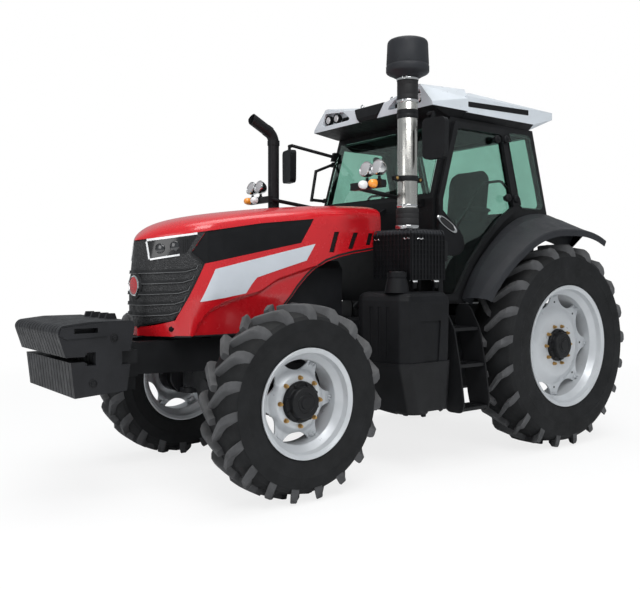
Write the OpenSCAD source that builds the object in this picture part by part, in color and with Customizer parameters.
// Four-wheel-drive farm tractor with a closed cab, millimetres.
// X forward, Y left, Z up; stations are measured from the rear axle and moved at the end.

/* [Chassis] */
// Distance between the axles
wheelbase = 2690; // [2500:10:2900]
// Distance between the front tyres' middles
front_track = 1700; // [1640:10:1800]
// Distance between the rear tyres' middles
rear_track = 1680; // [1640:10:1760]
// Half width of the front frame and engine foot
frame_half = 215; // [180:5:230]
// Top of the front frame
frame_top = 1015; // [980:5:1020]

/* [Front wheels] */
// Diameter over the lugs
front_od = 1270; // [1200:10:1290]
// Tyre section width
front_tyre_w = 350; // [320:5:370]
// Diameter over the rim flanges
front_rim_d = 711; // [680:1:740]
// Width over the rim flanges
front_rim_w = 330; // [300:5:340]
// Lobes that hold the disc in the rim
front_lobes = 6; // [5:1:8]
// Lugs on each side of the tread
front_lugs = 19; // [16:1:22]

/* [Rear wheels] */
// Diameter over the lugs
rear_od = 1710; // [1660:10:1740]
// Tyre section width
rear_tyre_w = 430; // [400:5:440]
// Diameter over the rim flanges
rear_rim_d = 1019; // [980:1:1040]
// Width over the rim flanges
rear_rim_w = 406; // [380:2:414]
// Lobes that hold the disc in the rim
rear_lobes = 8; // [6:1:10]
// Lugs on each side of the tread
rear_lugs = 21; // [18:1:24]
// Height of the lugs above the carcass
lug_h = 44; // [36:1:52]

/* [Hood] */
// Reach of the nose ahead of the front axle
nose_reach = 730; // [690:5:770]
// Rear end of the hood
hood_rear = 1560; // [1520:5:1600]
// Half width at the side panels
hood_half = 415; // [390:5:418]
// Height at the rear end
hood_top = 2005; // [1960:5:2040]
// How much lower the nose is than the rear end
hood_fall = 200; // [150:10:240]
// Wall thickness
hood_wall = 10; // [8:1:14]
// Number of ribs across the grille
grille_ribs = 5; // [3:1:7]

/* [Cab] */
// Half width over the side frames
cab_half = 700; // [690:5:705]
// Underside of the roof
cab_top = 2700; // [2660:10:2760]
// Underside of the sills
sill_z = 1225; // [1210:5:1240]
// Half width of the roof
roof_half = 765; // [740:5:780]
// Height of the roof above the frame
roof_h = 270; // [230:10:300]
// Pillar depth across the cab
pillar = 45; // [40:1:50]
// Door frame thickness
door_t = 30; // [24:1:34]

/* [Fenders] */
// Outer edge of the fender
fender_half = 1068; // [1060:2:1080]
// Fender sheet thickness
fender_t = 8; // [6:1:12]

/* [Side equipment] */
// Outer side of the fuel tanks
tank_half = 930; // [900:5:950]
// Top of the fuel tanks
tank_top = 1328; // [1290:2:1340]
// Station of the intake stack
stack_x = 1545; // [1535:5:1555]
// Side position of the intake stack
stack_y = 700; // [690:5:720]
// Radius of the intake pipe
stack_r = 77; // [70:1:84]
// Top of the pre-cleaner
stack_top = 3215; // [3100:5:3260]
// Station of the exhaust pipe
exhaust_x = 1865; // [1850:5:1880]
// Side position of the exhaust pipe
exhaust_y = -635; // [-660:5:-625]
// Radius of the exhaust pipe
exhaust_r = 48; // [42:1:52]
// Height of the mirror housings
mirror_h = 300; // [270:5:320]

/* [Front weights] */
// Number of plates
plates = 16; // [12:1:18]
// Distance from plate to plate
plate_pitch = 55; // [50:1:56]
// Length of the plates
plate_l = 477; // [460:1:490]

/* [Hitch] */
// Station of the lower links' front pins
link_x = -30; // [-40:5:-20]
// Height of the lower links' front pins
link_z = 500; // [480:5:520]
// Length of the lower links
link_l = 1020; // [980:10:1060]
// Half distance between the lower hitch points
hitch_half = 482; // [470:1:490]
// Bore of the lower hitch balls
ball_bore = 37.4; // [28.7:0.1:37.8]
// Height of the lift shaft
lift_z = 1140; // [1120:5:1150]
// Bore of the drawbar's pin hole
drawbar_bore = 32; // [30:1:35]
// Diameter of the power take-off shaft
pto_d = 35; // [34:1:45]

/* [Hidden] */
$fn = 48;
// Axle heights that the other heights were drawn for
front_ref = 635;
rear_ref = 855;
front_r = front_od / 2;
rear_r = rear_od / 2;
front_lift = front_r - front_ref;
rear_lift = rear_r - rear_ref;
front_y = front_track / 2;
rear_y = max(rear_track / 2, cab_half + rear_tyre_w / 2 - 75);
king_y = front_y - 250;
seat_gap = 0.3;
// Steering cylinder's distance behind the front axle and below its middle
rod_back = 190;
rod_drop = 122 + seat_gap + 18;
// Stations along the chassis
trans_front = 1799;
trans_top = min(1090, sill_z - 135);
engine_half = 230;
engine_front = wheelbase + 270;
engine_top = min(1560, hood_top - 445);
frame_rear = max(trans_front + 30, wheelbase - 610);
frame_front = wheelbase + 870;
frame_low = 806;
weights_rear = wheelbase + 920;
weights_front = weights_rear + plate_l;
hitch_rear = link_x - link_l - 62;
mid_x = (weights_front + hitch_rear) / 2;
hood_front = wheelbase + nose_reach;
hood_low = frame_top + 27;
hood_pin = [hood_rear + 30, hood_top - 50];
hood_stations = [0, 0.12, 0.26, 0.4, 0.54, 0.66, 0.76, 0.82, 0.87, 0.91, 0.945, 0.97, 0.988, 1];
// Cab
cab_front = 1275;
cab_rear = -150;
belt_z = 2050;
floor_half = cab_half - pillar - 95;
door_in = cab_half + 7;
door_out = door_in + door_t;
hinge_low = [262, 1975];
hinge_high = [444, 2672];
hinge_y = door_out + 4;
roof_front = 1330;
// Side equipment
tank_rear = 1310;
tank_front = max(tank_rear + 260, wheelbase - 800);
tank_low = 812;
guard_low = 450;
pipe_x = max(stack_x, roof_front + 170);
cleaner_rear = max(cab_front + 19, pipe_x - 251);
cleaner_front = pipe_x + 105;
cleaner_in = max(428, hood_half + 13);
cleaner_out = max(850, stack_y + stack_r + 60);
cleaner_low = tank_top + 86;
cleaner_top = cleaner_low + 343;
rail_y = min(560, stack_y - stack_r - 60, -exhaust_y - exhaust_r - 27);
mirror_z = cab_top - 248;
cap_r = 162;
cap_low = stack_top - 286;
mirror_y = max(936, stack_y + (cap_low < mirror_z + 160 ? cap_r + 8 : stack_r) + 105);
// Lift linkage
rod_x = -560;
rod_dx = -80;

function hood_x(t) = hood_rear + t * (hood_front - hood_rear);
function hood_z(s) = hood_low + s * (hood_top - hood_low);
function hood_point(t, s) = [hood_x(t), hood_z(s)];
function hood_crest(t) = hood_top - hood_fall * pow(t, 1.7) - 0.6 * hood_fall * pow(t, 14);
function nose_part(t) = max(0, (t - 0.776) / 0.224);
function hood_w(t) = hood_half * max(0.1, pow(1 - pow(nose_part(t), 2), 0.77));
function low_share(t) = lookup(t, [[0.6, 0.8], [0.82, 0.82], [0.87, 0.95], [0.95, 0.97]]);
function pillar_x(z) = cab_front - 190 * (z - belt_z) / (cab_top - belt_z);
function arc_point(r, a) = [(r + rear_lift) * cos(a), rear_ref + (r + rear_lift) * sin(a)];
function fender_in(a) = lookup(a, [[19, 1032], [54, 1040], [76, 1110], [98, 1136], [119, 1110]]);
function fender_mid(a) = lookup(a, [[19, 1060], [54, 1062], [76, 1085], [98, 1090], [119, 1085]]);
function fender_out(a) = lookup(a, [[19, 1040], [50, 1014], [90, 967], [119, 1020]]);
function fender_y(a) = lookup(a, [[19, fender_half - 105], [50, fender_half], [119, fender_half]]);
function plate_x(u) = weights_rear + u * plate_l;

// Arc of n steps that rounds corner p between its neighbours a and b
function corner(p, a, b, r, n) =
  let (
    u = (a - p) / norm(a - p),
    v = (b - p) / norm(b - p),
    half = acos(max(-1, min(1, u * v))) / 2,
    d = min(r / tan(half), 0.48 * norm(a - p), 0.48 * norm(b - p)),
    q = d * tan(half),
    c = p + (u + v) / norm(u + v) * q / sin(half),
    s = p + u * d - c,
    e = p + v * d - c,
    a0 = atan2(s[1], s[0]),
    turn = (atan2(e[1], e[0]) - a0 + 540) % 360 - 180
  ) [for (i = [0 : n]) c + q * [cos(a0 + turn * i / n), sin(a0 + turn * i / n)]];

// Points on an arc around c
function arc_list(c, r, a0, a1, n) = [
  for (i = [0 : n]) c + r * [cos(a0 + (a1 - a0) * i / n), sin(a0 + (a1 - a0) * i / n)]
];

// Outline with every corner rounded
function rounded(pts, r, n = 3) = [
  for (i = [0 : len(pts) - 1]) each corner(
    pts[i], pts[(i + len(pts) - 1) % len(pts)], pts[(i + 1) % len(pts)], r, n
  )
];

module at_frame() {
  translate([-mid_x, 0, 0]) children();
}

module on_front() {
  translate([0, 0, front_lift]) children();
}

module on_rear() {
  translate([0, 0, rear_lift]) children();
}

module both() {
  children();
  mirror([0, 1, 0]) children();
}

// A profile drawn in x and z, drawn out from y0 to y1
module side_plate(y0, y1) {
  translate([0, y1, 0]) rotate([90, 0, 0]) linear_extrude(y1 - y0) children();
}

// A profile drawn in y and z, drawn out from x0 to x1
module side_plate_x(x0, x1) {
  translate([x0, 0, 0]) rotate([90, 0, 90]) linear_extrude(x1 - x0) children();
}

// A profile drawn as radius and y, turned around y
module turned() {
  rotate([-90, 0, 0]) rotate_extrude() children();
}

// A round bar along y
module bar_y(r, y0, y1) {
  translate([0, y1, 0]) rotate([90, 0, 0]) cylinder(r = r, h = y1 - y0);
}

// A round bar along x
module bar_x(r, x0, x1) {
  translate([x0, 0, 0]) rotate([0, 90, 0]) cylinder(r = r, h = x1 - x0);
}

// A round bar from point a to point b
module bar(a, b, r) {
  d = b - a;
  l = norm(d);
  translate(a) rotate([0, acos(d[2] / l), atan2(d[1], d[0])]) cylinder(r = r, h = l);
}

module box(x0, x1, y0, y1, z0, z1) {
  translate([x0, y0, z0]) cube([x1 - x0, y1 - y0, z1 - z0]);
}

// Wheels

// End face of a lug at angle a, as a flat pyramid whose tip (way +1 or -1 along y) lies inside the lug
module lug_end(r0, r1, a, y, t, way) {
  top = sqrt(r1 * r1 - t * t / 4);
  rotate([0, -a, 0])
    translate([(r0 + top) / 2, y, 0])
      rotate([-90 * way, 0, 0])
        linear_extrude(5, scale = 0) square([top - r0, t], center = true);
}

module lug(r, half, sweep) {
  hull() {
    lug_end(r - lug_h - 26, r, 0, 3, 40, 1);
    lug_end(r - 2 * lug_h - 22, r - 8, sweep, half - 5, 48, -1);
  }
}

// Tyre with a V of lugs whose middle meets the ground first
module tyre(r, w, rim_d, rim_w, lugs, sweep) {
  fit = 1 / cos(180 / lugs);
  bead = (rim_d / 2 - 24.5) * fit;
  foot = (rim_d / 2 + 1) * fit;
  hb = rim_w / 2 - 14.5;
  half = w / 2;
  wide = (r + rim_d / 2) / 2;
  rotate([90, 0, 0]) rotate_extrude($fn = lugs) polygon([
    [bead, -hb], [foot, -hb], [wide, -half], [r - 2 * lug_h - 8, -half + 3], [r - lug_h - 2, -half + 62],
    [r - lug_h - 2, half - 62], [r - 2 * lug_h - 8, half - 3], [wide, half], [foot, hb], [bead, hb]
  ]);
  pitch = 360 / lugs;
  start = -90 - asin(20 / r);
  for (i = [0 : lugs - 1]) {
    rotate([0, -start - i * pitch, 0]) lug(r, half, sweep);
    mirror([0, 1, 0]) rotate([0, -start - (i + 0.5) * pitch, 0]) lug(r, half, sweep);
  }
}

module rim(rim_d, rim_w) {
  r1 = rim_d / 2;
  r2 = r1 - 25;
  r3 = r1 - 70;
  h = rim_w / 2;
  turned() polygon([
    [r1, h], [r1, h - 12], [r2, h - 14], [r2 - 3, h - 56], [r3, h - 90],
    [r3, 90 - h], [r2 - 3, 56 - h], [r2, 14 - h], [r1, 12 - h], [r1, -h],
    [r2 - 4, -h], [r2 - 12, 14 - h], [r2 - 13, 56 - h], [r3 - 9, 94 - h], [r3 - 9, h - 94], [r2 - 13, h - 56],
    [r2 - 12, h - 14], [r2 - 4, h]
  ]);
}

// Dished disc with a wavy edge, facing the outer side (+y), around a bore of the hub
module wheel_disc(rim_d, lobes, y0, dish, hub_r) {
  edge = rim_d / 2 - 75;
  pitch = 2 * PI * edge / lobes;
  cut_r = 0.44 * pitch;
  difference() {
    turned() polygon([
      [hub_r - 5, y0 + dish], [0.58 * edge, y0 + dish], [0.63 * edge, y0 + dish - 6], [0.74 * edge, y0 + 6],
      [0.79 * edge, y0], [edge, y0],
      [edge, y0 - 14], [0.78 * edge, y0 - 14], [0.72 * edge, y0 - 8], [0.61 * edge, y0 + dish - 20],
      [0.57 * edge, y0 + dish - 14], [hub_r - 5, y0 + dish - 14]
    ]);
    for (i = [0 : lobes - 1]) {
      rotate([0, (i + 0.5) * 360 / lobes, 0])
        translate([edge + 0.4 * cut_r, 0, 0])
          bar_y(cut_r, y0 - 40, y0 + dish + 40);
    }
  }
}

// Clamps that bolt the lobes to the rim
module rim_clamps(rim_d, lobes, y0) {
  edge = rim_d / 2 - 75;
  for (i = [0 : lobes - 1]) {
    rotate([0, i * 360 / lobes, 0]) {
      translate([edge - 38, y0 - 34, -22]) cube([40, 46, 44]);
      translate([edge - 20, 0, 0]) bar_y(13, y0 + 10, y0 + 26, $fn = 6);
    }
  }
}

// Hub with a blind bore for its spindle, the bore opening to the inner side
module hub(r, y0, y1, bore_r, bore_to, nuts, nut_circle, nut_y) {
  difference() {
    union() {
      turned() polygon([
        [0, y0], [r, y0], [r, y1 - 52], [r - 6, y1 - 42], [0.8 * r, y1 - 40], [0.78 * r, y1 - 8],
        [0.72 * r, y1],
        [0.3 * r, y1], [0.28 * r, y1 + 8], [0, y1 + 8]
      ]);
      for (i = [0 : nuts - 1]) {
        rotate([0, i * 360 / nuts, 0]) {
          translate([nut_circle, 0, 0]) bar_y(16, nut_y - 20, nut_y + 22, $fn = 6);
          translate([0.89 * r, 0, 0]) bar_y(9, y1 - 60, y1 - 34, $fn = 6);
        }
      }
    }
    bar_y(bore_r, y0 - 1, bore_to);
  }
}

module front_wheel() {
  color("lightsteelblue") {
    rim(front_rim_d, front_rim_w);
    wheel_disc(front_rim_d, front_lobes, 8, 50, 130);
    rim_clamps(front_rim_d, front_lobes, 8);
    hub(134, -105, 130, 56, -30, 8, 156, 58);
  }
}

module rear_wheel() {
  ring = 0.87 * (rear_rim_d / 2 - 75);
  color("lightsteelblue") difference() {
    union() {
      rim(rear_rim_d, rear_rim_w);
      wheel_disc(rear_rim_d, rear_lobes, 50, 34, 134);
      rim_clamps(rear_rim_d, rear_lobes, 50);
      hub(138, -160, 150, 71, -60, 10, 163, 84);
    }
    for (i = [0 : rear_lobes - 1]) {
      rotate([0, i * 360 / rear_lobes, 0]) translate([ring, 0, 0]) bar_y(9, 20, 80);
    }
  }
}

module front_tyre() {
  color("dimgray") tyre(front_r, front_tyre_w, front_rim_d, front_rim_w, front_lugs, 13);
}

module rear_tyre() {
  color("dimgray") tyre(rear_r, rear_tyre_w, rear_rim_d, rear_rim_w, rear_lugs, 12);
}

module at_front_left() {
  translate([wheelbase, front_y, front_r]) children();
}

module at_rear_left() {
  translate([0, rear_y, rear_r]) children();
}

module tyre_front_left() {
  at_front_left() front_tyre();
}

module tyre_front_right() {
  mirror([0, 1, 0]) at_front_left() front_tyre();
}

module tyre_rear_left() {
  at_rear_left() rear_tyre();
}

module tyre_rear_right() {
  mirror([0, 1, 0]) at_rear_left() rear_tyre();
}

module wheel_front_left() {
  at_front_left() front_wheel();
}

module wheel_front_right() {
  mirror([0, 1, 0]) at_front_left() front_wheel();
}

module wheel_rear_left() {
  at_rear_left() rear_wheel();
}

module wheel_rear_right() {
  mirror([0, 1, 0]) at_rear_left() rear_wheel();
}

// Front axle and steering

module front_axle() {
  color("dimgray") translate([wheelbase, 0, front_r]) difference() {
    union() {
      side_plate_x(-75, 75) polygon(rounded([
        [-king_y + 30, -55], [-260, -60], [-150, -110], [150, -110], [260, -60], [king_y - 30, -55],
        [king_y - 30, 55], [250, 60], [120, 64], [-120, 64], [-250, 60], [-king_y + 30, 55]
      ], 30));
      both() translate([0, king_y, -75]) cylinder(r = 58, h = 150);
      turned() polygon([
        [0, 92 - king_y], [66, 92 - king_y], [92, -140], [119, -90], [119, 90], [92, 140], [66, king_y - 92],
        [0, king_y - 92]
      ]);
      bar_x(60, -200, 200);
      translate([-rod_back, 0, -rod_drop]) bar_y(36, -190, 190);
      both() box(-rod_back, -60, 142, 182, -rod_drop - 20, -40);
    }
    both() translate([0, king_y, -100]) cylinder(r = 22.3, h = 200);
    translate([-rod_back, 0, -rod_drop]) bar_y(18, -200, 200);
  }
}

module knuckle() {
  translate([wheelbase, king_y, front_r]) {
    translate([0, 0, -122]) cylinder(r = 22, h = 244);
    for (s = [-1, 1]) translate([0, 0, s * 101]) linear_extrude(42, center = true) union() {
      circle(r = 60);
      translate([-60, 0]) square([120, 105]);
    }
    translate([-75, 66, -122]) cube([150, 39, 244]);
    bar_y(128, 70, 104);
    bar_y(56 - seat_gap, 100, 218);
    translate([-rod_back, -20, -122]) cube([150, 40, 42]);
    translate([-rod_back, 0, -122]) cylinder(r = 32, h = 42);
  }
}

module knuckle_left() {
  color("dimgray") knuckle();
}

module knuckle_right() {
  color("dimgray") mirror([0, 1, 0]) knuckle();
}

module tie_rod() {
  color("gray") translate([wheelbase - rod_back, 0, front_r - rod_drop]) {
    bar_y(16, -king_y + 20, king_y - 20);
    both() translate([0, king_y, -18]) cylinder(r = 30, h = 36);
  }
}

// Chassis

module front_frame() {
  x = wheelbase;
  z = front_ref;
  end_half = frame_half + 60;
  color("dimgray") on_front() {
    both() side_plate(frame_half - 65, frame_half) polygon([
      [frame_rear, 830], [x - 130, 790], [x + 360, 790], [frame_front, frame_low], [frame_front, frame_top],
      [frame_rear, frame_top]
    ]);
    difference() {
      box(frame_front - 40, frame_front + 20, -end_half, end_half, frame_low - 6, frame_top + 8);
      both() translate([0, frame_half + 30, 850]) bar_x(12, frame_front - 60, frame_front + 60);
      both() translate([0, frame_half + 30, 970]) bar_x(12, frame_front - 60, frame_front + 60);
    }
    box(x + 310, x + 370, -frame_half, frame_half, 800, 900);
    box(frame_front + 18, plate_x(0.174) - seat_gap, -400, 400, 902 + seat_gap, 984 - seat_gap);
    both() side_plate(150, 190) polygon([
      [frame_front - 60, 700], [frame_front + 12, 720], [frame_front + 12, 812], [frame_front - 60, 812]
    ]);
    for (s = [x - 160, x + 160]) difference() {
      side_plate_x(s - 30, s + 30) polygon([
        [-frame_half, 800], [-frame_half, 830], [frame_half, 830], [frame_half, 800], [110, z - 95],
        [-110, z - 95]
      ]);
      translate([0, 0, z]) bar_x(60 + seat_gap, s - 40, s + 40);
    }
  }
}

module weight_profile() {
  top = 1172;
  polygon([
    [plate_x(0.109), 740], [plate_x(0.79), 718], [plate_x(0.841), 932],
    [plate_x(0.66), 932], [plate_x(0.66), 908], [plate_x(0.522), 908],
    [plate_x(0.522), 988], [plate_x(0.66), 988], [plate_x(0.66), 964], [plate_x(0.904), 964],
    [plate_x(1) - 4, top - 80], each arc_list([plate_x(1) - 48, top - 64], 48, 0, 78, 4),
    [plate_x(0.6), top], [plate_x(0.06), top], each arc_list([plate_x(0.07), top - 33], 33, 110, 190, 3),
    [plate_x(0.063), 984], [plate_x(0.174), 984], [plate_x(0.174), 902], [plate_x(0.063), 902]
  ]);
}

module weight_core() {
  polygon([
    [plate_x(0.15), 754], [plate_x(0.757), 736], [plate_x(0.79), 924],
    [plate_x(0.63), 924], [plate_x(0.63), 898], [plate_x(0.5), 898],
    [plate_x(0.5), 998], [plate_x(0.63), 998], [plate_x(0.63), 974], [plate_x(0.86), 974],
    [plate_x(0.945), 1080], [plate_x(0.87), 1130], [plate_x(0.07), 1140], [plate_x(0.1), 994],
    [plate_x(0.195), 994], [plate_x(0.195), 892], [plate_x(0.1), 892]
  ]);
}

// Comb of ballast plates with a hand slot and a raised step on the outer ones
module front_weights() {
  half = plates * plate_pitch / 2;
  color("dimgray") on_front() {
    difference() {
      union() {
        for (i = [0 : plates - 1]) {
          translate([0, (i - (plates - 1) / 2) * plate_pitch, 0])
            side_plate(-plate_pitch / 2 + 4, plate_pitch / 2 - 4) weight_profile();
        }
        side_plate(-half + 10, half - 10) weight_core();
        both() side_plate(half - 10, half + 4) polygon([
          [plate_x(0.37), 1082], [plate_x(0.9), 1072], [plate_x(0.985), 1098], [plate_x(0.96), 1140],
          [plate_x(0.42), 1164]
        ]);
      }
      both() box(plate_x(0.5), plate_x(0.8), half - 60, half + 20, 1104, 1134);
    }
    for (q = [[0.28, 1068], [0.56, 800]]) {
      translate([plate_x(q[0]), 0, q[1]]) bar_y(15, -half - 6, half + 6);
    }
    both() for (y = [60, 170]) side_plate(y, y + 24) polygon([
      [plate_x(0.03), 1165], [plate_x(0.2), 1165], [plate_x(0.17), 1206], [plate_x(0.06), 1206]
    ]);
  }
}

module engine() {
  low = frame_top + seat_gap;
  color("gray") on_front() {
    side_plate_x(trans_front + seat_gap, engine_front) polygon([
      [-140, 835], [140, 835], [140, low], [engine_half, low], [engine_half, engine_top - 60],
      [engine_half - 50, engine_top], [50 - engine_half, engine_top], [-engine_half, engine_top - 60],
      [-engine_half, low], [-140, low]
    ]);
  }
}

module radiator() {
  x = engine_front;
  half = min(235, 0.56 * hood_half);
  top = engine_top + 40;
  color("darkgray") on_front() {
    box(x + 120, x + 240, -half, half, frame_top + seat_gap, top);
    box(x + 40, x + 120, -half + 5, half - 5, frame_top + 45, top - 20);
    translate([0, 0, (frame_top + top) / 2]) bar_x(70, x + 1, x + 42);
    for (y = [-0.7, -0.35, 0, 0.35, 0.7]) {
      box(x + 238, x + 244, y * half - 8, y * half + 8, frame_top + 60, top - 40);
    }
  }
}

module transmission() {
  color("gray") on_rear() {
    side_plate(-190, 190) polygon(rounded([
      [trans_front, 640], [trans_front, trans_top], [350, trans_top], [340, 1190], [-240, 1190], [-330, 1060],
      [-330, 520], [-200, 450], [350, 450], [900, 560]
    ], 30));
    side_plate(-240, 240) polygon(rounded([
      [260, trans_top], [-180, trans_top], [-250, 1000], [-250, 560], [-160, 500], [240, 500]
    ], 40));
    for (x = [620, 1180]) side_plate_x(x, x + 40) polygon(rounded([
      [-215, 600], [215, 600], [215, trans_top - 20], [-215, trans_top - 20]
    ], 40));
    translate([link_x + rod_dx, 0, lift_z]) bar_y(60, -310, 310);
    box(860, 1000, -170, 170, trans_top - 10, sill_z - seat_gap);
    both() {
      translate([link_x, 0, link_z]) bar_y(22, 185, 300);
      box(-460, -320, 34, 60, 940, 1030);
    }
    translate([-420, 0, 985]) bar_y(16, -45, 45);
  }
}

module rear_axle() {
  color("dimgray") both() translate([0, 0, rear_r]) {
    turned() polygon([
      [0, 240 + seat_gap], [168, 240 + seat_gap], [160, 290], [120, 345], [104, rear_y - 300],
      [112, rear_y - 282],
      [165, rear_y - 280], [165, rear_y - 230], [71 - seat_gap, rear_y - 230], [71 - seat_gap, rear_y - 70],
      [0, rear_y - 70]
    ]);
  }
}

// Hood

module hood_section(t, inset) {
  w = max(6, hood_w(t) - inset);
  top = hood_crest(t) - inset;
  low = hood_low - (inset > 0 ? 30 : 0);
  foot = low_share(t) * w;
  crown = 78 * min(1, 0.25 + w / hood_half);
  x = hood_x(t) - (inset > 0 && t > 0.5 ? inset * 1.1 : 0) - (inset > 0 && t < 0.01 ? 20 : 0);
  half = [
    [0.3 * w, top - 0.03 * crown], [0.58 * w, top - 0.15 * crown], [0.8 * w, top - 0.4 * crown],
    [0.93 * w, top - 0.72 * crown], [0.985 * w, top - 1.15 * crown], [w, top - 1.9 * crown],
    [w, hood_z(0.268)], [foot, low]
  ];
  translate([x, 0, 0]) rotate([90, 0, 90]) linear_extrude(0.4) polygon([
    each half,
    for (i = [len(half) - 1 : -1 : 0]) [-half[i][0], half[i][1]]
  ]);
}

module hood_body(inset) {
  for (i = [0 : len(hood_stations) - 2]) {
    hull() {
      hood_section(hood_stations[i], inset);
      hood_section(hood_stations[i + 1], inset);
    }
  }
}

module hood_skin(wall) {
  difference() {
    hood_body(0);
    hood_body(wall);
  }
}

// A region of the hood seen from the side
module hood_region(pts) {
  side_plate(-hood_half - 200, hood_half + 200) polygon([for (p = pts) hood_point(p[0], p[1])]);
}

module arch_cut() {
  hood_region([
    [0.613, -0.044], [0.58, 0.004], [0.516, 0.081], [0.4575, 0.239], [0.376, 0.413], [0.288, 0.525],
    [0.156, 0.592], [0.04, 0.627], [-0.032, 0.646], [-0.043, -0.044]
  ]);
}

// Sunk lower panel behind the crease
module relief_area(grow) {
  hood_region([
    [0.872 + grow, -0.06], [0.845 + grow, 0.08], [0.807 + grow, 0.182 + grow], [0.76, 0.232 + grow],
    [0.699, 0.269 + grow], [0.6, 0.31 + grow], [0.52, 0.4 + grow], [0.36, 0.49 + grow], [0.2, 0.54 + grow],
    [-0.05, 0.56 + grow], [-0.05, -0.06]
  ]);
}

module screen_area() {
  hood_region([
    [0.8226, 0.728], [0.8688, 0.5815], [0.8269, 0.5036], [0.6237, 0.5836], [0.4102, 0.6656], [0.3473, 0.8515],
    [0.5914, 0.7996]
  ]);
}

module lamp_area() {
  for (s = [-1, 1]) scale([1, s, 1]) intersection() {
    side_plate(0, hood_half + 200) polygon([
      hood_point(1.0323, 0.5067), hood_point(0.8849, 0.5774), hood_point(0.8505, 0.704),
      hood_point(0.9355, 0.675),
      hood_point(1.0323, 0.6417)
    ]);
    side_plate_x(hood_x(0.77), hood_x(1.05)) polygon([
      [75, hood_z(0.4756)], [hood_half + 190, hood_z(0.4756)], [hood_half + 190, hood_z(0.787)],
      [52, hood_z(0.787)]
    ]);
  }
}

module grille_area() {
  difference() {
    hood_region([
      [1.043, 0.054], [0.9892, 0.0644], [0.914, 0.1121], [0.8763, 0.2783], [0.8269, 0.5036], [0.8688, 0.5815],
      [0.8226, 0.728], [0.9355, 0.6916], [1.0323, 0.6584], [1.043, 0.6584]
    ]);
    lamp_area();
  }
}

// Slanted air slots in the sides
module vents() {
  for (v = [[0.247, 0.274, 0.6], [0.148, 0.176, 0.63], [0.067, 0.082, 0.665]]) {
    hood_region([[v[0], 0.76], [v[0] - 0.026, 0.76], [v[1] - 0.026, v[2]], [v[1], v[2]]]);
  }
}

// Ribs across the grille, each with a raised outer end
module rib_area() {
  for (i = [0 : grille_ribs - 1]) {
    s = 0.13 + 0.36 * (i + 0.5) / grille_ribs;
    hood_region([
      [1.04, s - 0.012], [0.925, s + 0.006], [0.905, s + 0.012], [0.888, s + 0.042], [0.898, s + 0.042],
      [0.913, s + 0.03], [0.93, s + 0.024], [1.04, s + 0.006]
    ]);
  }
}

module hood_shell() {
  color("firebrick") on_front() difference() {
    union() {
      difference() {
        hood_body(0);
        relief_area(0);
      }
      intersection() {
        hood_body(20);
        relief_area(0.002);
        side_plate(-hood_half, hood_half) polygon([
          hood_point(-0.01, 0), hood_point(0.9, 0), hood_point(0.9, 0.7), hood_point(-0.01, 0.7)
        ]);
      }
      both() side_plate(170, 190) polygon([
        hood_pin + [-22, -22], hood_pin + [22, -22], hood_pin + [40, 36], hood_pin + [-22, 36]
      ]);
    }
    difference() {
      hood_body(hood_wall);
      relief_area(0.008);
      both() side_plate(168, 192) polygon([
        hood_pin + [-26, -26], hood_pin + [26, -26], hood_pin + [44, 80], hood_pin + [-26, 80]
      ]);
    }
    intersection() {
      hood_body(20 + hood_wall);
      relief_area(0.012);
    }
    translate([hood_pin[0], 0, hood_pin[1]]) bar_y(13, -300, 300);
    arch_cut();
    screen_area();
    lamp_area();
    grille_area();
    vents();
  }
}

module grille() {
  color("dimgray") on_front() intersection() {
    union() {
      difference() {
        hood_body(6);
        hood_body(hood_wall + 12);
      }
      intersection() {
        hood_skin(14);
        rib_area();
      }
      translate([0, 0, hood_z(0.35)]) bar_x(72, hood_front - 60, hood_front + 6);
    }
    grille_area();
  }
}

module hood_screens() {
  color("dimgray") on_front() intersection() {
    difference() {
      hood_body(3);
      hood_body(hood_wall + 4);
    }
    screen_area();
  }
}

module headlights() {
  color("white") on_front() intersection() {
    hood_skin(hood_wall + 14);
    lamp_area();
  }
}

// Cab

module cab_outline() {
  polygon([
    [cab_front, sill_z], [cab_front, belt_z], [1085, cab_top], [60, cab_top], [cab_rear, 1975],
    [cab_rear, 1905],
    [150, 1905],
    arc_point(985, 70), arc_point(985, 60), arc_point(985, 50), arc_point(985, 40), arc_point(985, 30),
    [900, sill_z]
  ]);
}

module door_hole() {
  polygon(rounded([
    [1215, sill_z + 65], [1215, 2045], [1046, cab_top - 60], [482, cab_top - 60], [312, 2010], [345, 1992],
    [520, 1890], [690, 1745], [872, 1530], [1000, 1330], [1020, sill_z + 65]
  ], 20, 2));
}

module quarter_hole() {
  polygon(rounded([[392, cab_top - 60], [112, cab_top - 60], [-84, 2030], [222, 2030]], 45));
}

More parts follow.
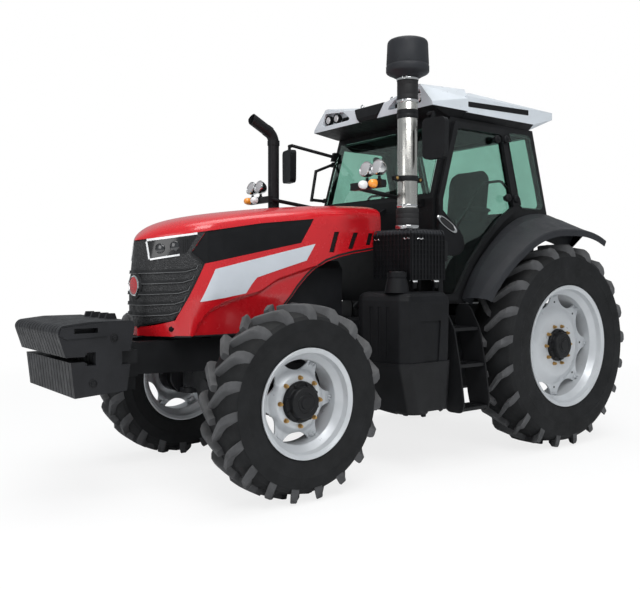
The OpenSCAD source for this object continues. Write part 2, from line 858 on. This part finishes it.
module cab_frame() {
  w = cab_half - pillar + 1;
  pin_x = hood_pin[0];
  pin_z = hood_pin[1] + front_lift - rear_lift;
  color("dimgray") on_rear() {
    for (s = [0, 1]) mirror([0, s, 0]) side_plate(cab_half - pillar, cab_half) difference() {
      cab_outline();
      door_hole();
      quarter_hole();
    }
    side_plate(-w, w) polygon([
      [cab_front, 1960], [cab_front, belt_z], [cab_front - 11, belt_z + 38], [1222, belt_z + 38], [1230, 1960]
    ]);
    both() {
      side_plate(125, 155) polygon([
        [cab_front - 5, 1963], [cab_front + 1, 1963], [pin_x - 110, pin_z - 105], [pin_x + 10, pin_z - 50],
        [pin_x + 22, pin_z], [pin_x, pin_z + 21], [pin_x - 20, pin_z + 5], [pin_x - 30, pin_z - 30],
        [pin_x - 110, pin_z - 65], [cab_front + 1, 1999], [cab_front - 5, 1999]
      ]);
      translate([pin_x, 0, pin_z]) bar_y(12, 130, 210);
    }
    side_plate(-w, w) polygon([[1102, cab_top - 56], [1085, cab_top], [1030, cab_top], [1030, cab_top - 56]]);
    side_plate(-w, w) polygon([[60, cab_top], [42, cab_top - 60], [90, cab_top - 60], [110, cab_top]]);
    side_plate(-w, w) polygon([[cab_rear, 1905], [cab_rear, 1975], [-136, 2020], [-92, 2020], [-100, 1905]]);
  }
}

module cab_floor() {
  w = cab_half - pillar - seat_gap;
  f = floor_half;
  color("gray") on_rear() {
    box(560, cab_front, -f, f, sill_z, sill_z + 35);
    box(870, cab_front, -w, w, sill_z, sill_z + 35);
    box(1230, cab_front, -w, w, sill_z + 35, 1960 - seat_gap);
    box(560, 590, -f, f, sill_z, 1600);
    box(cab_rear, 590, -f, f, 1570, 1605);
    box(cab_rear, -110, -f, f, 1570, 1905 - seat_gap);
    both() box(cab_rear, 870, f - 25, f, sill_z, 1900);
    both() box(cab_rear, 300, f - 1, w, 1880, 1900);
  }
}

module cab_glass() {
  w = cab_half - pillar - 4;
  color("palegreen") on_rear() {
    side_plate(-w, w) polygon([
      [cab_front - 10.4, belt_z + 38], [cab_front - 4.4, belt_z + 40], [1108, cab_top - 54],
      [1102.3, cab_top - 56]
    ]);
    side_plate(-w, w) polygon([[-92, 2020.3], [-86, 2020.3], [90, cab_top - 60.3], [84, cab_top - 60.3]]);
    both() side_plate(cab_half + seat_gap, cab_half + 6) polygon(rounded([
      [404, cab_top - 48], [102, cab_top - 48], [-100, 2018], [216, 2018]
    ], 48));
  }
}

// Half of a roof frame: side profile up to a height, between the stations x0 and x1
module roof_layer(half, x0, x1, lean, z0, z1) {
  side_plate(-half, half) polygon([[x0, z0], [x1, z0], [x1 - lean, z1], [x0 + lean, z1]]);
}

module cab_roof() {
  z = cab_top + seat_gap;
  h = roof_h;
  r = roof_half;
  color("gainsboro") on_rear() difference() {
    union() {
      // Raised front part with slanted facets
      hull() {
        roof_layer(r - 40, 820, roof_front - 30, 0, z, z + 10);
        roof_layer(r, 830, roof_front, 0, z + 45, z + 100);
        roof_layer(r - 70, 800, roof_front - 8, 0, z + 150, z + 170);
        side_plate(-r + 215, r - 215) polygon([
          [790, z + h - 26], [1215, z + h - 4], [1215, z + h], [800, z + h - 16]
        ]);
      }
      // Lower rear part
      hull() {
        roof_layer(r - 60, cab_rear + 50, 850, 0, z, z + 10);
        roof_layer(r - 14, cab_rear, 850, 0, z + 70, z + 110);
        side_plate(-r + 130, r - 130) polygon([
          [cab_rear + 60, z + h - 112], [cab_rear + 80, z + h - 98], [800, z + h - 32], [850, z + h - 60]
        ]);
      }
    }
    box(-60, 1000, -floor_half, floor_half, z - 1, z + 60);
    // Pocket of the visor and lamp pods
    side_plate(-330, 330) polygon([
      [1170, z + h + 20], [1400, z + h + 20], [1400, z + 6], [1280, z + 6]
    ]);
    both() side_plate_x(roof_front - 60, roof_front + 20) polygon(rounded([
      [372, z + 52], [r - 90, z + 62], [r - 112, z + 158], [392, z + 186]
    ], 24));
    // Side strip behind the step
    both() side_plate(r - 34, r + 10) polygon([
      [10, z + 78], [790, z + 90], [790, z + 140], [10, z + 118]
    ]);
  }
}

module roof_visor() {
  z = cab_top + seat_gap;
  color("dimgray") on_rear() difference() {
    side_plate(-328, 328) polygon([
      [1280, z + 8], [1340, z + 8], [1352, z + 40], [1246, z + roof_h - 22], [1230, z + roof_h - 10],
      [1183, z + roof_h - 8]
    ]);
    both() side_plate_x(1100, 1400) polygon([[328, z + 40], [340, z + 40], [340, z + 300], [236, z + 300]]);
  }
}

module roof_lamps() {
  z = cab_top + seat_gap;
  x = roof_front - 60 + seat_gap;
  color("white") on_rear() both() {
    for (y = [486, 600]) translate([x, y, z + 110]) rotate([0, 90, 0]) rotate_extrude() polygon([
      [0, 0], [36, 0], [44, 14], [45, 44], [39, 47], [37, 42], [0, 50]
    ]);
    for (y = [400, 416, 432]) box(x, x + 24, y - 4, y + 4, z + 72, z + 160);
  }
}

module seat() {
  z = 1605 + seat_gap;
  back = min(820, cab_top - 1755);
  color("dimgray") on_rear() {
    side_plate(-190, 190) polygon([[130, z], [470, z], [440, z + 160], [180, z + 160]]);
    side_plate(-255, 255) polygon(rounded([
      [90, z + 158], [540, z + 158], [575, z + 215], [550, z + 280], [90, z + 262]
    ], 40));
    side_plate(-245, 245) polygon(rounded([
      [92, z + 240], [215, z + 240], [190, z + 420], [128, z + back], [36, z + back], [60, z + 420]
    ], 34));
    both() side_plate(262, 322) polygon(rounded([
      [140, z + 400], [480, z + 410], [480, z + 456], [140, z + 452]
    ], 20));
    both() box(150, 200, 240, 320, z + 230, z + 440);
  }
}

module steering_console() {
  z = sill_z + 35 + seat_gap;
  color("dimgray") on_rear() {
    side_plate(-150, 150) polygon(rounded([
      [1000, z], [1200, z], [1200, z + 560], [1130, z + 660], [1030, z + 640]
    ], 30));
    bar([1060, 0, z + 600], [930, 0, z + 780], 26);
    translate([930, 0, z + 780]) rotate([0, -35.8, 0]) {
      translate([0, 0, -18]) cylinder(r = 44, h = 34);
      rotate_extrude() translate([195, 0]) circle(r = 16);
      for (a = [60, 180, 300]) rotate([0, 0, a]) translate([30, -14, -9]) cube([163, 28, 12]);
    }
  }
}

module fender_strip(a0, a1) {
  p = [a0, a1];
  y0 = cab_half + seat_gap + fender_t / 2;
  hull() {
    for (a = p) fender_dot(fender_in(a), a, y0);
    for (a = p) fender_dot(905, a, y0);
  }
  hull() {
    for (a = p) fender_dot(fender_in(a), a, y0);
    for (a = p) fender_dot(fender_mid(a), a, cab_half + 110);
  }
  hull() {
    for (a = p) fender_dot(fender_mid(a), a, cab_half + 110);
    for (a = p) fender_dot(fender_out(a) + 22, a, fender_y(a) - 70);
  }
  hull() {
    for (a = p) fender_dot(fender_out(a) + 22, a, fender_y(a) - 70);
    for (a = p) fender_dot(fender_out(a), a, fender_y(a) - fender_t / 2);
  }
  hull() {
    for (a = p) fender_dot(fender_out(a), a, fender_y(a) - fender_t / 2);
    for (a = p) fender_dot(fender_out(a) - 50, a, fender_y(a) - fender_t / 2);
  }
}

module fender_dot(r, a, y) {
  q = arc_point(r, a);
  translate([q[0], y, q[1]]) cube(fender_t, center = true);
}

module fenders() {
  steps = 12;
  color("dimgray") on_rear() both() for (i = [0 : steps - 1]) {
    fender_strip(23 + i * 8, 23 + (i + 1) * 8);
  }
}

// Doors

module door_outline() {
  polygon(rounded([
    [1248, sill_z + 25], [1248, 2048], [1064, cab_top - 36], [474, cab_top - 36], [294, 2014], [322, 1990],
    [490, 1885], [668, 1730], [855, 1528], [1008, 1300], [1030, sill_z + 25]
  ], 26));
}

module door_light() {
  polygon(rounded([
    [1200, sill_z + 75], [1200, 2038], [1030, cab_top - 86], [510, cab_top - 86], [350, 2030], [375, 2015],
    [530, 1918], [706, 1762], [892, 1556], [1044, 1325], [1058, sill_z + 75]
  ], 40));
}

module door_pane() {
  polygon(rounded([
    [1208, sill_z + 67], [1208, 2042], [1036, cab_top - 78], [504, cab_top - 78], [342, 2026], [370, 2008],
    [526, 1912], [700, 1756], [886, 1550], [1038, 1320], [1054, sill_z + 67]
  ], 34));
}

module door_frame() {
  d = (hinge_high - hinge_low) / norm(hinge_high - hinge_low);
  top_hinge = min(620, (cab_top - 140 - hinge_low[1]) / d[1]);
  side_plate(door_in, door_out) difference() {
    door_outline();
    door_light();
  }
  for (s = [70, top_hinge]) {
    p = hinge_low + d * s;
    bar([p[0], hinge_y, p[1]], [p[0] + d[0] * 60, hinge_y, p[1] + d[1] * 60], 14);
    side_plate(door_out - 2, door_out + 12) polygon([
      p, p + [90, -10], p + [100, 40], p + d * 60
    ]);
  }
  difference() {
    side_plate(door_out - 1, door_out + 45) polygon(rounded([
      [1194, 1550], [1240, 1560], [1240, 1722], [1194, 1712]
    ], 12));
    box(1180, 1260, door_out + 10, door_out + 30, 1580, 1692);
  }
}

module door_glass() {
  side_plate(door_in - 5, door_in - seat_gap) door_pane();
}

module door_left_frame() {
  color("dimgray") on_rear() door_frame();
}

module door_right_frame() {
  color("dimgray") on_rear() mirror([0, 1, 0]) door_frame();
}

module door_left_glass() {
  color("palegreen") on_rear() door_glass();
}

module door_right_glass() {
  color("palegreen") on_rear() mirror([0, 1, 0]) door_glass();
}

// Side equipment

// Plan of a tank, shrunk by inset, with its front set back
module tank_plan(inset, back = 0) {
  h = tank_half - inset;
  f = tank_front - inset - back;
  polygon(rounded([
    [tank_rear + inset, 520 + inset], [tank_rear + inset, h], [f - 150, h], [f - 92, h - 44], [f, 580],
    [f, 520 + inset]
  ], 42));
}

module tank_slice(z, inset, back = 0) {
  translate([0, 0, z]) linear_extrude(1) tank_plan(inset, back);
}

module fuel_tanks() {
  filler_y = tank_half - 140;
  filler_x = tank_front - 155;
  face = [tank_front - 92, tank_half - 44];
  run = [tank_front, 580] - face;
  color("dimgray") on_rear() {
    both() difference() {
      hull() {
        tank_slice(tank_low, 6);
        tank_slice(tank_top - 66, 0);
        tank_slice(tank_top - 34, 7);
        tank_slice(tank_top - 12, 26);
        tank_slice(tank_top - 1, 58);
      }
      side_plate(tank_half - 14, tank_half + 20) polygon([
        [tank_rear + 108, tank_top - 214], [tank_front - 257, tank_top - 214], [tank_front - 320, tank_low - 10],
        [tank_rear + 130, tank_low - 10]
      ]);
      // Flutes in the front
      for (k = [0.3, 0.52, 0.74]) translate([face[0] + k * run[0], face[1] + k * run[1], tank_low + 40])
        rotate([0, 0, atan2(run[1], run[0])]) translate([-16, -8, 0]) cube([32, 30, tank_top - tank_low - 150]);
    }
    translate([filler_x, filler_y, tank_top - 6]) cylinder(r1 = 92, r2 = 70, h = 104);
    translate([filler_x, filler_y, tank_top + 97]) cylinder(r = 66, h = 12);
    translate([filler_x, filler_y, tank_top + 108]) cylinder(r = 72, h = 34);
    translate([filler_x, filler_y, tank_top + 141]) cylinder(r1 = 60, r2 = 52, h = 10);
  }
}

// Steel housings under the tanks, narrower at the foot
module tank_guards() {
  color("dimgray") on_rear() both() {
    hull() {
      tank_slice(tank_low - 1 - seat_gap, -3);
      tank_slice(tank_low - 24, -3);
      tank_slice(guard_low, 10, 84);
    }
    translate([tank_rear + 190, 700, guard_low - 44]) cylinder(r1 = 120, r2 = 150, h = 50);
    for (x = [tank_rear + 90, tank_front - 190]) box(x, x + 60, 190 + seat_gap, 540, 700, 760);
  }
}

module step_tread(y0, y1, z) {
  difference() {
    box(960, 1242, y0, y1, z, z + 24);
    for (x = [990, 1050, 1110, 1170]) box(x, x + 36, y0 + 34, y1 - 34, z - 5, z + 40);
  }
}

module cab_steps() {
  color("dimgray") on_rear() both() {
    for (x = [955, 1238]) side_plate_x(x, x + 14) polygon(rounded([
      [650, sill_z - seat_gap], [790, sill_z - seat_gap], [902, 1040], [962, 760], [1002, 480], [985, 410],
      [815, 405], [786, 520], [740, 800], [660, 1080]
    ], 70, 4));
    step_tread(700, 890, 1022);
    step_tread(762, 950, 748);
    step_tread(808, 986, 424);
  }
}

// Ribbed air cleaner box with drain knobs and latches
module air_cleaner() {
  across = 10;
  up = 9;
  x0 = cleaner_rear;
  x1 = cleaner_front;
  y0 = cleaner_in;
  y1 = cleaner_out;
  z0 = cleaner_low;
  z1 = cleaner_top;
  color("dimgray") on_rear() {
    box(x0, x1 - 9, y0, y1 - 9, z0, z1);
    for (i = [0 : across]) {
      x = x0 + i * (x1 - x0 - 17) / across;
      box(x, x + 8, y1 - 12, y1, z0, z1);
    }
    for (i = [0 : up]) {
      z = z0 + i * (z1 - z0 - 8) / up;
      box(x0, x1 - 9, y1 - 12, y1 - 2, z, z + 8);
      box(x1 - 12, x1 - 2, y0, y1 - 9, z, z + 8);
    }
    for (i = [0 : across]) {
      y = y0 + i * (y1 - y0 - 17) / across;
      box(x1 - 12, x1, y, y + 8, z0, z1);
    }
    box(cab_front + seat_gap, x0 + 6, 500, 560, z0 + 66, z1 - 57);
    for (x = [x0 + 86, x1 - 90]) {
      translate([x, 640, tank_top + seat_gap]) cylinder(r = 30, h = z0 - tank_top + 10);
    }
    for (x = [x0 + 60, x1 - 70]) translate([x, y1 - 44, z0 - 62]) cylinder(r1 = 20, r2 = 28, h = 66);
    for (y = [y1 - 60, y1 - 300]) box(x0 + 20, x0 + 50, y - 16, y + 16, z1 - 4, z1 + 14);
  }
}

module intake_pipe() {
  z0 = cleaner_top + seat_gap;
  z1 = cap_low - 190;
  color("silver") on_rear() translate([pipe_x, stack_y, 0]) {
    translate([0, 0, z0]) cylinder(r = stack_r + 12, h = 70);
    translate([0, 0, z0 + 66]) cylinder(r = stack_r + 9, h = 130);
    translate([0, 0, z0 + 180]) cylinder(r = stack_r, h = z1 - z0 - 170);
    translate([0, 0, z0 + 200]) cylinder(r = stack_r + 4, h = 24);
    translate([0, 0, z1 - 118]) cylinder(r = stack_r + 3, h = 66);
    translate([0, 0, z1]) cylinder(r = stack_r + 5, h = 22);
    translate([0, 0, z1 + 20]) cylinder(r = stack_r + 2, h = cap_low - z1 - 40);
    translate([0, 0, cap_low - 24]) cylinder(r = stack_r + 6, h = 24);
  }
}

module precleaner() {
  z = cap_low + seat_gap;
  color("dimgray") on_rear() translate([pipe_x, stack_y, z]) rotate_extrude() polygon([
    [0, 0], [stack_r + 14, 0], [stack_r + 44, 18], [cap_r - 8, 34], [cap_r, 44], [cap_r, 86], [cap_r - 4, 88],
    [cap_r - 4, 98], [cap_r - 2, 100], [cap_r - 9, 250], [cap_r - 14, 268], [cap_r - 28, 281],
    [cap_r - 60, 285],
    [0, 286 - seat_gap]
  ]);
}

module exhaust() {
  bend = 110;
  lean = 62;
  rise = 1090;
  color("dimgray") on_front() translate([exhaust_x, exhaust_y, 1500]) {
    bar_y(exhaust_r - 6, 0, -exhaust_y - engine_half - seat_gap);
    sphere(r = exhaust_r + 6);
    cylinder(r = exhaust_r, h = rise);
    translate([0, 0, 120]) cylinder(r = exhaust_r + 16, h = 380);
    translate([0, 0, rise - 20]) cylinder(r = exhaust_r + 5, h = 40);
    translate([bend, 0, rise]) rotate([-90, 0, 0])
      rotate_extrude(angle = lean, start = 180) translate([bend, 0]) circle(r = exhaust_r - 1);
    translate([bend - bend * cos(lean), 0, rise + bend * sin(lean)]) rotate([0, lean, 0]) {
      translate([0, 0, -20]) cylinder(r = exhaust_r + 3, h = 40);
      difference() {
        cylinder(r = exhaust_r, h = 190);
        translate([0, 0, 90]) cylinder(r = exhaust_r - 6, h = 120);
        translate([0, 0, 190]) rotate([0, 24, 0]) translate([-100, -100, 0]) cube([200, 200, 90]);
      }
    }
  }
}

// Rails that carry the work lamps and indicators, with the grab rail on the right
module lamp_rails() {
  x = cab_front + seat_gap;
  color("dimgray") on_rear() {
    both() {
      box(x, x + 25, rail_y - 40, rail_y + 40, 1990, 2046);
      bar([x + 15, rail_y, 2020], [1945, rail_y, 2095], 16);
      box(1930, 1976, rail_y - 12, 890, 2070, 2122);
      bar([1953, 884, 2096], [1953, 892, 2096], 25);
    }
    mirror([0, 1, 0]) {
      bar([x + 8, cab_half - 20, 2126], [x + 150, cab_half - 20, 2130], 14);
      bar([x + 150, cab_half - 20, 2116], [x + 96, cab_half - 20, 2400], 14);
      bar([x + 96, cab_half - 20, 2392], [pillar_x(2470) + 26, cab_half - 20, 2470], 13);
      side_plate(cab_half - 36, cab_half - 4) polygon([
        [pillar_x(2110) + seat_gap, 2110], [pillar_x(2110) + 30, 2110], [pillar_x(2150) + 30, 2150],
        [pillar_x(2150) + seat_gap, 2150]
      ]);
      side_plate(cab_half - 36, cab_half - 4) polygon([
        [pillar_x(2445) + seat_gap, 2445], [pillar_x(2445) + 34, 2445], [pillar_x(2490) + 34, 2490],
        [pillar_x(2490) + seat_gap, 2490]
      ]);
    }
  }
}

module front_lamps() {
  color("white") on_rear() both() {
    for (y = [708, 839]) {
      translate([1916, y, 2196]) rotate([0, 72, 0]) rotate_extrude() polygon([
        [0, -20], [22, -18], [46, 10], [57, 44], [58, 60], [52, 64], [0, 72]
      ]);
      translate([1950, y, 2122 + seat_gap]) cylinder(r = 12, h = 40);
    }
    for (y = [725, 833]) translate([1976 + seat_gap, y, 2096]) rotate([0, 90, 0]) rotate_extrude() polygon([
      [0, 0], [30, 0], [32, 20], [28, 46], [16, 60], [0, 64]
    ]);
  }
}

module mirrors() {
  foot = mirror_z + 46;
  color("dimgray") on_rear() both() {
    side_plate(cab_half - 40, cab_half - 4) polygon([
      [pillar_x(foot) + seat_gap, foot], [pillar_x(foot) + 50, foot],
      [pillar_x(foot + 80) + 50, foot + 80], [pillar_x(foot + 80) + seat_gap, foot + 80]
    ]);
    bar([pillar_x(foot + 40) + 26, cab_half - 22, foot + 40], [1500, mirror_y - 60, mirror_z + 186], 15);
    bar([1498, mirror_y - 62, mirror_z + 186], [1498, mirror_y - 10, mirror_z + 186], 16);
    bar([1498, mirror_y - 14, mirror_z + 190], [1498, mirror_y - 14, mirror_z + 100], 14);
    translate([1490, mirror_y, mirror_z]) rotate([0, 0, 12]) side_plate_x(-30, 30) polygon(rounded([
      [-92, -mirror_h / 2], [92, -mirror_h / 2], [98, mirror_h / 2], [-98, mirror_h / 2]
    ], 34, 4));
  }
}

// Rear hitch

module link_bar(a, b, t, h) {
  d = b - a;
  translate([a[0], a[1], a[2] - h / 2]) rotate([0, 0, atan2(d[1], d[0])])
    translate([0, -t / 2, 0]) cube([norm(d), t, h]);
}

module lower_link() {
  p = [link_x, 272, link_z];
  q = [link_x - link_l, hitch_half, link_z];
  k = (link_x - rod_x) / link_l;
  ym = 272 + k * (hitch_half - 272);
  difference() {
    union() {
      link_bar(p, q, 36, 80);
      translate([link_x, 0, link_z]) bar_y(46, 252, 292);
      translate([rod_x, 0, link_z]) bar_y(36, ym - 10, 430);
      translate([link_x - link_l, 0, link_z]) bar_y(62, hitch_half - 28, hitch_half + 28);
    }
    translate([link_x, 0, link_z]) bar_y(22.3, 200, 320);
    translate([link_x - link_l, 0, link_z]) bar_y(ball_bore / 2, hitch_half - 60, hitch_half + 60);
  }
}

module lower_links() {
  color("dimgray") on_rear() both() lower_link();
}

module lift_arms() {
  x0 = link_x + rod_dx;
  x1 = rod_x + rod_dx;
  color("dimgray") on_rear() both() {
    difference() {
      union() {
        translate([x0, 0, lift_z]) bar_y(88, 262, 330);
        side_plate(290, 330) polygon([
          [x1, lift_z - 32], [x0, lift_z - 62], [x0, lift_z + 62], [x1, lift_z + 32]
        ]);
        translate([x1, 0, lift_z]) bar_y(40, 290, 430);
      }
      translate([x0, 0, lift_z]) bar_y(60.3, 200, 318);
    }
  }
}

module lift_rods() {
  a = [rod_x, 450, link_z];
  b = [rod_x + rod_dx, 450, lift_z];
  m = (a + b) / 2;
  u = (b - a) / norm(b - a);
  color("gray") on_rear() both() {
    translate([a[0], 0, a[2]]) bar_y(38, 430 + seat_gap, 470);
    translate([b[0], 0, b[2]]) bar_y(38, 430 + seat_gap, 470);
    bar(a, b, 18);
    bar(m - 120 * u, m + 120 * u, 26);
  }
}

module top_link() {
  color("gray") on_rear() difference() {
    union() {
      translate([-420, 0, 985]) bar_y(40, -30, 30);
      translate([0, 0, 985]) bar_x(17, -940, -420);
      translate([0, 0, 985]) bar_x(28, -800, -560);
      translate([-940, 0, 985]) bar_y(40, -26, 26);
    }
    translate([-940, 0, 985]) bar_y(16, -40, 40);
    translate([-420, 0, 985]) bar_y(16.3, -40, 40);
  }
}

module drawbar() {
  color("dimgray") on_rear() {
    difference() {
      linear_extrude_at(400, 40) polygon(rounded([[-900, -45], [280, -45], [280, 45], [-900, 45]], 30));
      translate([-860, 0, 380]) cylinder(r = drawbar_bore / 2, h = 80);
    }
    box(160, 270, -80, 80, 438, 450 - seat_gap);
    box(-375, -330 - seat_gap, -80, 80, 438, 560);
  }
}

// A plan profile raised from z0 by h
module linear_extrude_at(z0, h) {
  translate([0, 0, z0]) linear_extrude(h) children();
}

module pto_shaft() {
  color("silver") on_rear() {
    translate([0, 0, 640]) bar_x(70, -360, -330 - seat_gap);
    translate([0, 0, 640]) bar_x(pto_d / 2, -460, -355);
  }
}

at_frame() front_frame();
at_frame() front_weights();
at_frame() engine();
at_frame() radiator();
at_frame() transmission();
at_frame() rear_axle();
at_frame() front_axle();
at_frame() hood_shell();
at_frame() grille();
at_frame() hood_screens();
at_frame() headlights();
at_frame() cab_frame();
at_frame() cab_floor();
at_frame() cab_glass();
at_frame() cab_roof();
at_frame() roof_visor();
at_frame() roof_lamps();
at_frame() seat();
at_frame() steering_console();
at_frame() fenders();
at_frame() door_left_frame();
at_frame() door_left_glass();
at_frame() door_right_frame();
at_frame() door_right_glass();
at_frame() fuel_tanks();
at_frame() tank_guards();
at_frame() cab_steps();
at_frame() air_cleaner();
at_frame() intake_pipe();
at_frame() precleaner();
at_frame() exhaust();
at_frame() lamp_rails();
at_frame() front_lamps();
at_frame() mirrors();
at_frame() knuckle_left();
at_frame() knuckle_right();
at_frame() tie_rod();
at_frame() tyre_front_left();
at_frame() wheel_front_left();
at_frame() tyre_front_right();
at_frame() wheel_front_right();
at_frame() tyre_rear_left();
at_frame() wheel_rear_left();
at_frame() tyre_rear_right();
at_frame() wheel_rear_right();
at_frame() lower_links();
at_frame() lift_arms();
at_frame() lift_rods();
at_frame() top_link();
at_frame() drawbar();
at_frame() pto_shaft();
